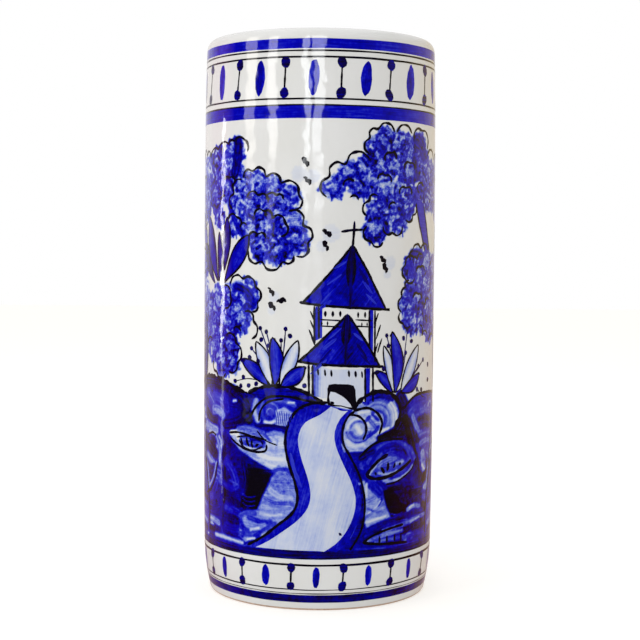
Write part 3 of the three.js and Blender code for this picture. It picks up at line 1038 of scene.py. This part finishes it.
def wash_right_hills(sheet):
    sheet.area((78, 186, 90, 176, 104, 152, 114, 128, 120, 108, 118, 84, 92, 84, 66, 104, 44, 132, 36, 140,
                56, 154, 70, 158), DEEP + 0.03, 0.9, 3)
    # The round mound beside the door
    sheet.area((32, 180, 42, 189, 54, 192, 66, 190, 76, 183, 79, 172, 72, 160, 57, 152, 40, 141, 28, 141,
                22, 152, 23, 166), LIGHT - 0.08, 1, 1.2)
    fan(sheet, (54, 168), (21, 8), (130, -40), (DEEP - 0.04, COBALT, MID, LIGHT, MID, LIGHT, MID, COBALT),
        2.2)
    fan(sheet, (55, 168), (20, 17), (48, -38), (0.04, 0.08), 3)
    fan(sheet, (36, 160), (13, 4), (190, 350), (LIGHT, COBALT, MID, COBALT, MID, LIGHT), 1.8)
    fan(sheet, (36, 160), (13, 5), (170, 20), (LIGHT, 0.08, MID, LIGHT), 2.2)
    lay_strokes(sheet, (
        (5, DEEP - 0.04, 42, 186, 56, 190, 70, 186), (4, DEEP, 75, 184, 80.5, 172, 75, 162),
        (4, MID, 45, 170, 50, 164, 54, 160), (2.5, COBALT, 49, 173, 55, 168), (3, COBALT, 43, 168, 46, 171),
        (3, PALE, 36, 175, 46, 176), (3, COBALT, 45, 154, 52, 158, 55, 162),
        (4, PALE, 26, 150, 32, 146, 40, 147), (3, 0.06, 56, 157, 66, 160), (4, 0.08, 34, 163, 38, 158)), 1.1)
    # The dark ridge behind it and the far hill
    lay_strokes(sheet, (
        (13, NAVY, 80, 187, 90, 172, 99, 154, 108, 132, 114, 110), (9, NAVY, 82, 166, 76, 158, 64, 153),
        (8, BLACK, 86, 168, 94, 148, 100, 136), (5, BLACK, 56, 152, 68, 155, 84, 154),
        (8, COBALT, 94, 180, 106, 183, 122, 182), (8, MID + 0.08, 94, 172, 102, 176, 112, 175),
        (6, MID, 112, 172, 124, 172, 138, 170), (6, NAVY, 108, 164, 120, 165, 134, 162),
        (7, LIGHT + 0.06, 98, 168, 104, 158, 112, 152), (5, NAVY - 0.04, 112, 157, 124, 158, 136, 155),
        (5, MID, 110, 150, 122, 151, 136, 150), (6, LIGHT + 0.08, 112, 142, 124, 144, 140, 142),
        (6, COBALT, 106, 140, 112, 130, 115, 120), (10, LIGHT + 0.02, 117, 132, 119, 125, 120, 119),
        (4, PALE, 116, 122, 122, 117), (2.4, MID, 112, 126, 124, 127),
        (7, MID, 128, 132, 138, 128, 148, 130), (10, BLACK, 120, 110, 134, 114, 146, 116),
        (7, LIGHT, 124, 101, 136, 100, 148, 98), (5, MID, 120, 92, 134, 89, 148, 84),
        (8, NAVY, 118, 84, 132, 78, 148, 74)), 2)
    # The lens-shaped field, the pale slope by the path and the dark cutting
    sheet.area((37, 136, 50, 146, 66, 149, 82, 148, 97, 141, 104, 130, 97, 120, 78, 112, 62, 110, 44, 118),
               COBALT + 0.05, 1, 1.2)
    fan(sheet, (70, 122), (26, 16), (160, 20), (MID + 0.08, DEEP, MID + 0.1, COBALT), 4)
    lay_strokes(sheet, (
        (7, DEEP + 0.04, 38, 135, 44, 138, 50, 140), (5, DEEP, 62, 140, 72, 142, 82, 140),
        (4, MID, 86, 144, 96, 138, 101, 130), (4, COBALT, 94, 120, 100, 126)), 2)
    sheet.area((44, 121, 52, 132, 66, 139, 84, 135, 98, 129, 84, 118, 64, 114), MID + 0.04, 1, 1.2)
    lay_strokes(sheet, (
        (4, LIGHT - 0.1, 46, 121, 51, 127, 58, 131), (3, LIGHT, 56, 121, 66, 119, 76, 121),
        (5, LIGHT + 0.05, 56, 127, 64, 131, 74, 133), (5, COBALT, 68, 138, 80, 136, 88, 131),
        (4, LIGHT, 76, 128, 84, 129), (3, LIGHT, 64, 112.5, 80, 114, 92, 119, 98, 124),
        (2.6, COBALT, 70, 115, 84, 119, 92, 123), (2.4, LIGHT, 46, 117, 56, 113.5, 66, 114)), 1.1)
    sheet.area((40, 116, 60, 108, 62, 98, 70, 80, 44, 70, 42, 90), LIGHT, 1, 1.5)
    lay_strokes(sheet, (
        (9, COBALT, 47, 113, 54, 107, 58, 103), (5, COBALT + 0.05, 56, 114, 62, 108),
        (3, COBALT, 60, 98, 56, 92), (2.4, MID, 44, 82, 54, 89, 62, 93), (3, LIGHT + 0.05, 44, 96, 52, 99),
        (3, PALE, 44, 78, 54, 80, 64, 82), (1.6, PALE, 46, 86, 54, 91, 58, 96),
        (2, MID, 48, 74, 58, 77, 68, 80), (2.4, MID, 46, 90, 56, 86, 66, 88),
        (2.6, PALE, 44, 101, 44, 112)), 1.2)
    sheet.area((61, 105, 76, 108, 96, 106, 114, 100, 116, 90, 92, 86, 80, 79, 70, 80), NAVY, 0.95, 2)
    sheet.area((61, 104, 70, 107, 78, 98, 84, 91, 92, 88, 90, 81, 72, 79, 65, 90), BLACK, 0.97, 1.5, 0.04)
    for i in range(3):
        sheet.stroke([(68 + 3 * i, 84 - i), (76 + 3 * i, 81.5 - i / 2), (84 + 3 * i, 83 - i / 2)], 0.9,
                     LIGHT, 0.4, 0.8, 0.02)
    lay_strokes(sheet, (
        (5, LIGHT + 0.06, 92, 84.5, 101, 87, 112, 84.5), (1.8, PALE, 94, 86, 101, 87.5),
        (6, DEEP, 46, 70, 60, 75, 84, 79, 118, 80), (2.4, NAVY, 70, 77, 96, 78, 126, 78),
        (4, MID - 0.06, 62, 69, 80, 71.5, 104, 75, 130, 76), (2, LIGHT - 0.08, 96, 73, 112, 75),
        (7, NAVY, 84, 66, 108, 68, 130, 66), (4, LIGHT + 0.06, 46, 61, 62, 65, 84, 67),
        (3.4, MID, 54, 59.5, 72, 61, 88, 60), (3, COBALT, 92, 60, 112, 60, 132, 58),
        (3, COBALT, 34, 55, 60, 53.5, 110, 53), (4, LIGHT, 20, 60, 28, 66, 33, 76)), 1.2)


def draw_hills(film):
    film.line(GROUND_TOP[:7], 2.8, wobble=0.5)
    film.line((-66, 190, -54, 195.5, -38, 198, -20, 196, -6, 190.5, 4, 184), 2.4, wobble=0.4)
    film.lines(
        (1.8, -64, 168, -56, 180, -44, 188, -26, 189, -10, 186, 6, 183),
        (1.5, -54, 166, -52, 176, -44, 184, -30, 187))
    film.line((-58, 162, -40, 163, -27, 161), 2.0, NAVY)
    film.lines(
        (1.5, -89, 153, -76, 154.5, -60, 152, -46, 150),
        (1.6, -87, 149, -76, 143, -62, 139, -48, 140, -46, 146),
        (1.1, -79, 150, -66, 152, -52, 149, -50, 145), (1.3, -76, 148, -70, 142, -60, 140, -50, 144),
        (1.0, -56, 158, -48, 150, -36, 146))
    for top, foot in (((-73, 150), (-71, 144)), ((-67, 151), (-64, 143)), ((-61, 149), (-60, 142)),
                      ((-54, 146), (-57, 143))):
        film.line([top, ((top[0] + foot[0]) / 2 - 1, (top[1] + foot[1]) / 2), foot], 1.7)
    for i in range(8):
        film.line([(-36.5 + 2 * i, 163.5), (-37 + 1.9 * i, 170), (-39 + 2.3 * i, 177 - 0.3 * i)], 0.55,
                  COBALT)
    film.line((30, 178, 40, 188, 53, 193, 66, 191, 76, 184, 80, 172, 73, 160), 2.8, wobble=0.4)
    film.lines(
        (1.9, 31, 177, 44, 179, 54, 174, 59, 165, 56, 155),
        (1.8, 27, 174, 36, 172, 42, 166, 43, 158, 40, 151),
        (2.4, 66, 137, 56, 132, 47, 124, 45, 119, 54, 116, 70, 118, 86, 124, 96, 129))
    for foot, top in (((53, 119), (52, 122)), ((62, 120), (58, 126)), ((65, 122), (66, 130)),
                      ((72, 124), (74, 129)), ((79, 126), (80, 128.5))):
        film.line([foot, ((foot[0] + top[0]) / 2 + 0.6, (foot[1] + top[1]) / 2), top], 2.2)
    film.lines((1.8, 41, 60, 52, 66, 68, 70, 86, 72), (2.0, 41, 60, 58, 57.5, 74, 56.5, 92, 55))
    dashes(film, [(58, 58), (66, 58), (75, 58), (83, 57)], 6.5, 1.7)
    film.lines(
        (1.4, 64, 110, 78, 112, 96, 120, 104, 130), (1.8, 37, 136, 50, 146.5, 66, 150, 84, 149),
        (2.0, 84, 176, 92, 182, 103, 187, 118, 188, 140, 187, 168, 184),
        (1.5, -132, 146, -118, 150, -110, 148))
    for side in (1, -1):
        for width, path in ((2.2, [(126, 58), (127, 84), (134, 112), (148, 134), (168, 144)]),
                            (1.5, [(140, 92), (146, 108), (156, 118), (168, 122)]),
                            (1.7, [(134, 112), (140, 150), (152, 170), (168, 176)])):
            film.line([(side * s, z) for s, z in path], width)
    film.line((-136, 92, -122, 98, -112, 110, -108, 124), 1.7)


def draw_plants(film):
    plant(film, (-38, 198), [((-73, 220), 12, -2, True), ((-57, 236), 12.5, -1.5, False),
                             ((-41, 240), 13, -2.8, True), ((-18, 238), 12, -0.5, False),
                             ((-12, 215), 13, -1, True)],
          [(-53, 248), (-47, 245), (-29, 248), (-62, 230), (-33, 238), (-45, 233)])
    plant(film, (74, 191), [((52, 211), 9.5, -2, True), ((60, 233), 9.5, -1.4, False),
                            ((69, 245), 13.5, -5, True), ((105, 232), 13, 0, False),
                            ((107, 206), 11, -2.5, True)],
          [(88, 246), (63, 242), (86, 226), (115, 218), (106, 213)])
    for place in ((-81, 200), (-71, 204), (-74, 196), (-65, 197), (-57, 199), (-25, 242), (-12, 199),
                  (-52, 238), (-64, 222), (-55, 219), (65, 233), (83, 239), (94, 236), (60, 213), (104, 192),
                  (127, 213), (127, 199), (112, 191)):
        film.dab(place, 4.6, 4.0, NAVY, random.uniform(0, 180))
    film.lines((0.7, -80, 200, -66, 203, -52, 202), (0.9, 104, 193, 112, 186, 118, 184))


# ---------------------------------------------------------------- the back, carried on in the same manner

def draw_back_tree(film, sheet):
    """A third tree stands at the top of the back's path, with a plant to one side of it."""
    for base, tip, width, bend in (((-8, 182), (-3, 318), 12, 3), ((6, 182), (5, 326), 13, -3),
                                   ((-6, 226), (-26, 322), 12, 3), ((8, 232), (26, 326), 12, -3)):
        leaf(film, base, tip, width, COBALT, NAVY, bend, 1.2, 1.2, OVER)
    for side in (1, -1):
        film.mirror = sheet.mirror = side
        sheet.foliage([(8, 396, 15), (26, 390, 14), (42, 376, 13), (12, 372, 15), (30, 366, 14),
                       (54, 362, 11), (10, 350, 13), (30, 344, 13), (46, 350, 12), (10, 328, 11),
                       (34, 328, 10)], MID + 0.04)
        sheet.foliage([(26, 286, 12), (40, 276, 12), (30, 264, 12), (44, 258, 11), (32, 246, 10)], MID)
        for valleys in (
                (0, 414, 16, 412, 34, 406, 50, 394, 60, 376, 66, 360), (66, 358, 58, 346, 46, 336, 34, 318),
                (4, 386, 16, 388, 26, 380), (22, 356, 34, 360, 42, 352), (36, 376, 46, 380, 54, 372),
                (16, 302, 30, 300, 46, 292, 54, 276, 54, 260, 44, 246), (26, 272, 36, 276, 44, 270)):
            scallops(film, valleys)
    plant(film, (114, 186), [((100, 212), 9, -2, True), ((106, 230), 9, 3, False), ((116, 236), 11, 1, True),
                             ((132, 222), 9, -3, False)], [(124, 240), (98, 226)])


def tree_far_half(film, sheet):
    """The half of a side tree that turns away from the front."""
    sheet.foliage([(152, 388, 12), (166, 384, 14), (156, 366, 13), (178, 388, 12), (182, 372, 13),
                   (196, 378, 11), (192, 360, 11), (168, 352, 12), (152, 354, 10), (206, 368, 9)],
                  MID + 0.02)
    sheet.foliage([(158, 304, 12), (170, 290, 13), (160, 276, 13), (178, 272, 11), (160, 256, 12),
                   (174, 254, 10)], MID)
    for valleys in (
            (144, 400, 156, 402, 172, 400, 188, 398, 202, 390, 213, 376),
            (214, 366, 202, 354, 186, 346, 170, 340, 154, 342), (158, 376, 168, 382, 178, 376),
            (150, 316, 164, 316, 180, 304, 188, 286, 188, 270, 182, 250, 164, 244),
            (160, 290, 170, 294, 178, 286)):
        scallops(film, valleys)
    leaves(film, ((154, 312), (176, 350), 15, COBALT, DEEP, 2, 1.4, 1.1, OVER),
           ((158, 186), (158, 258), 13, DEEP, NAVY, 2, 1.2, 1.1, OVER),
           ((165, 186), (172, 252), 10, COBALT, NAVY, -2, 1.2, 1.1, FILL))


def build_landscape(paint):
    sheet = Sheet(TREE_TOPS)
    lines = Film("painted_hill_lines")
    plants = Film("painted_plants")
    lines.band(GROUND_LOW, 53, DEEP + 0.07, FILL, 0.5)
    ground = [(-QUARTER, GROUND_LOW), *smooth(GROUND_TOP, spacing=6), (QUARTER, GROUND_LOW)]
    for origin, mirror in ((0, 1), (BACK, -1)):
        for layer in (sheet, lines, plants):
            layer.origin, layer.mirror = origin, mirror
        sheet.area(ground, DEEP - 0.02, 1, 1.5)
        scumble(sheet, (-QUARTER, QUARTER), (58, 176), 150)
        wash_left_hills(sheet)
        wash_right_hills(sheet)
        wash_side_mound(sheet, -QUARTER, (0, 90))
        wash_side_mound(sheet, QUARTER, (180, 90))
        draw_hills(lines)
        draw_plants(plants)
    back = Film("painted_back_tree", BACK - 18, -1)
    sheet.origin = back.origin
    draw_back_tree(back, sheet)
    sheet.origin, sheet.mirror = 0, 1
    left, right = Film("painted_tree_left"), Film("painted_tree_right")
    tree_crown_left(left, sheet)
    tree_skirt_left(left, sheet)
    tree_crown_right(right, sheet)
    tree_skirt_right(right, sheet)
    tree_far_half(right, sheet)
    left.origin, left.mirror = 18, -1
    sheet.origin, sheet.mirror = 18, -1
    tree_far_half(left, sheet)
    sheet.origin, sheet.mirror = 0, 1
    build_birds(paint, sheet)
    for film in (lines, plants, back, left, right):
        film.build(paint)
    ground_heights, tree_heights = (GROUND_LOW, SKYLINE), (SKYLINE, TREE_TOPS)
    for name, s_range, z_range in (("washed_ground_front", (-QUARTER, QUARTER), ground_heights),
                                   ("washed_ground_back", (QUARTER, 3 * QUARTER), ground_heights),
                                   ("sponged_tree_left", (-QUARTER, -1), tree_heights),
                                   ("sponged_tree_right", (-1, QUARTER), tree_heights),
                                   ("sponged_trees_back", (QUARTER, 3 * QUARTER), tree_heights)):
        sheet.piece(name, paint, s_range, z_range)


# ---------------------------------------------------------------- the stage

CAMERA_DISTANCE = 1.308
CAMERA_HEIGHT = 0.320
CAMERA_SIDE = 0.001
CAMERA_LENS = 78.2
PITCH = math.radians(3.04)
ROLL = math.radians(0.46)


def build_camera():
    camera = bpy.data.objects.new("camera", bpy.data.cameras.new("camera"))
    bpy.context.scene.collection.objects.link(camera)
    camera.data.lens = CAMERA_LENS
    camera.data.sensor_width = 36
    camera.location = (CAMERA_SIDE, -CAMERA_DISTANCE, CAMERA_HEIGHT)
    tilt = Matrix.Rotation(math.pi / 2 - PITCH, 3, "X") @ Matrix.Rotation(ROLL, 3, "Z")
    camera.rotation_euler = tilt.to_euler()
    bpy.context.scene.camera = camera


def build_area_light(name, width, height, radiance, colour=(1, 1, 1)):
    light = bpy.data.lights.new(name, "AREA")
    light.color = colour
    light.shape = "RECTANGLE"
    light.size = width
    light.size_y = height
    light.energy = radiance * math.pi * width * height
    panel = bpy.data.objects.new(name, light)
    bpy.context.scene.collection.objects.link(panel)
    return panel


def build_panel(name, azimuth, distance, low, high, width, radiance, colour=(1, 1, 1)):
    """An upright soft panel facing the stand. azimuth is in degrees round from the front, to the right."""
    panel = build_area_light(name, width, high - low, radiance, colour)
    turn = math.radians(azimuth)
    panel.location = (distance * math.sin(turn), -distance * math.cos(turn), (low + high) / 2)
    panel.rotation_euler = (math.pi / 2, 0, turn)


def build_window(name, azimuth, distance, width, radiance, colour=(1, 1, 1)):
    """A window whose light fades out towards its sill, in five upright panels."""
    heights = (-0.1, 0.3, 0.45, 0.54, 0.62, 1.8)
    for i, share in enumerate((0.1, 0.2, 0.4, 0.7, 1)):
        build_panel(name + "_" + str(i), azimuth, distance, heights[i], heights[i + 1], width,
                    radiance * share, colour)


def all_round(*stops):
    """Stops for a ramp of colours by azimuth in degrees: 0 is the front, growing rightwards."""
    return [(0.5 + degrees / 360, colour) for degrees, colour in stops]


def build_world():
    """A dim room in front of the stand, bright walls behind it and a wooden floor below the horizon."""
    world = bpy.data.worlds.new("studio")
    bpy.context.scene.world = world
    world.use_nodes = True
    nodes = Nodes(world.node_tree)
    x, y, z = nodes.split(nodes.coordinates("Generated"))
    turn = nodes.maths("ARCTAN2", x, nodes.maths("MULTIPLY", y, -1.0))
    azimuth = nodes.maths("ADD", nodes.maths("DIVIDE", turn, 2 * math.pi), 0.5)
    walls = nodes.ramp(azimuth, all_round(
        (-180, (0.85, 0.84, 0.85)), (-142, (0.85, 0.78, 0.76)), (-125, (0.70, 0.42, 0.54)),
        (-108, (0.64, 0.28, 0.45)), (-96, (0.02, 0.01, 0.03)), (40, (0.03, 0.03, 0.04)),
        (80, (0.22, 0.16, 0.08)), (112, (0.80, 0.56, 0.24)), (150, (0.76, 0.60, 0.38)),
        (180, (0.85, 0.84, 0.85))))
    boards = nodes.ramp(azimuth, all_round(
        (-180, (0.6, 0.5, 0.5)), (-130, (0.45, 0.2, 0.2)), (-95, (0.12, 0.01, 0.04)),
        (-70, (0.02, 0.01, 0.01)), (60, (0.02, 0.01, 0.01)), (105, (0.25, 0.05, 0.02)),
        (135, (0.6, 0.33, 0.2)), (180, (0.6, 0.5, 0.5))))
    level = nodes.maths("ADD", nodes.maths("MULTIPLY", z, 5.0), 0.9, clamp=True)
    overhead = nodes.maths("MULTIPLY", nodes.maths("SUBTRACT", z, 0.3), 4.0, clamp=True)
    room = nodes.blend(overhead, nodes.blend(level, boards, walls), (0.95, 0.95, 0.95, 1))
    background = world.node_tree.nodes["Background"]
    camera_sees = nodes.node("LightPath", "Is Camera Ray", {})
    nodes.join(nodes.blend(camera_sees, room, (1, 1, 1, 1)), background.inputs["Color"])


def build_stage():
    bpy.ops.mesh.primitive_plane_add(size=12)
    floor = bpy.context.object
    floor.name = "floor"
    floor.data.materials.append(Shader("floor").surface(
        Base_Color=(0.635, 0.622, 0.598, 1), Roughness=0.9, Emission_Color=(1, 0.988, 0.97, 1),
        Emission_Strength=0.46))
    floor.visible_glossy = False
    build_world()
    build_window("window_left", -71, 2.5, 0.5, 4.2, (1, 0.95, 0.86))
    build_window("window_middle", -47, 2.5, 0.4, 5.6, (1, 0.98, 0.95))
    build_window("window_front_left", -14, 3.0, 0.26, 7, (0.93, 0.97, 1))
    build_window("window_front_right", -2.5, 3.0, 0.5, 5.7, (0.93, 0.96, 1))
    build_panel("doorway_high", -109, 2.0, 0.08, 0.62, 0.13, 8)
    build_panel("doorway_low", -109, 2.0, -0.25, 0.08, 0.13, 2)
    build_area_light("ceiling", 2.4, 2.4, 0.6).location = (0, 0, 2.6)
    bpy.context.scene.view_settings.view_transform = "Standard"


glaze = white_glaze()
paint = brushwork()
build_wall(glaze)
build_rim(glaze)
build_floor(glaze)
build_foot(glaze, bare_clay())
build_top_border(paint)
build_base_border(paint)
build_chapel(paint)
build_path(paint, "painted_path", 0, 1)
build_path(paint, "painted_path_back", BACK, -1)
build_landscape(paint)
build_camera()
build_stage()
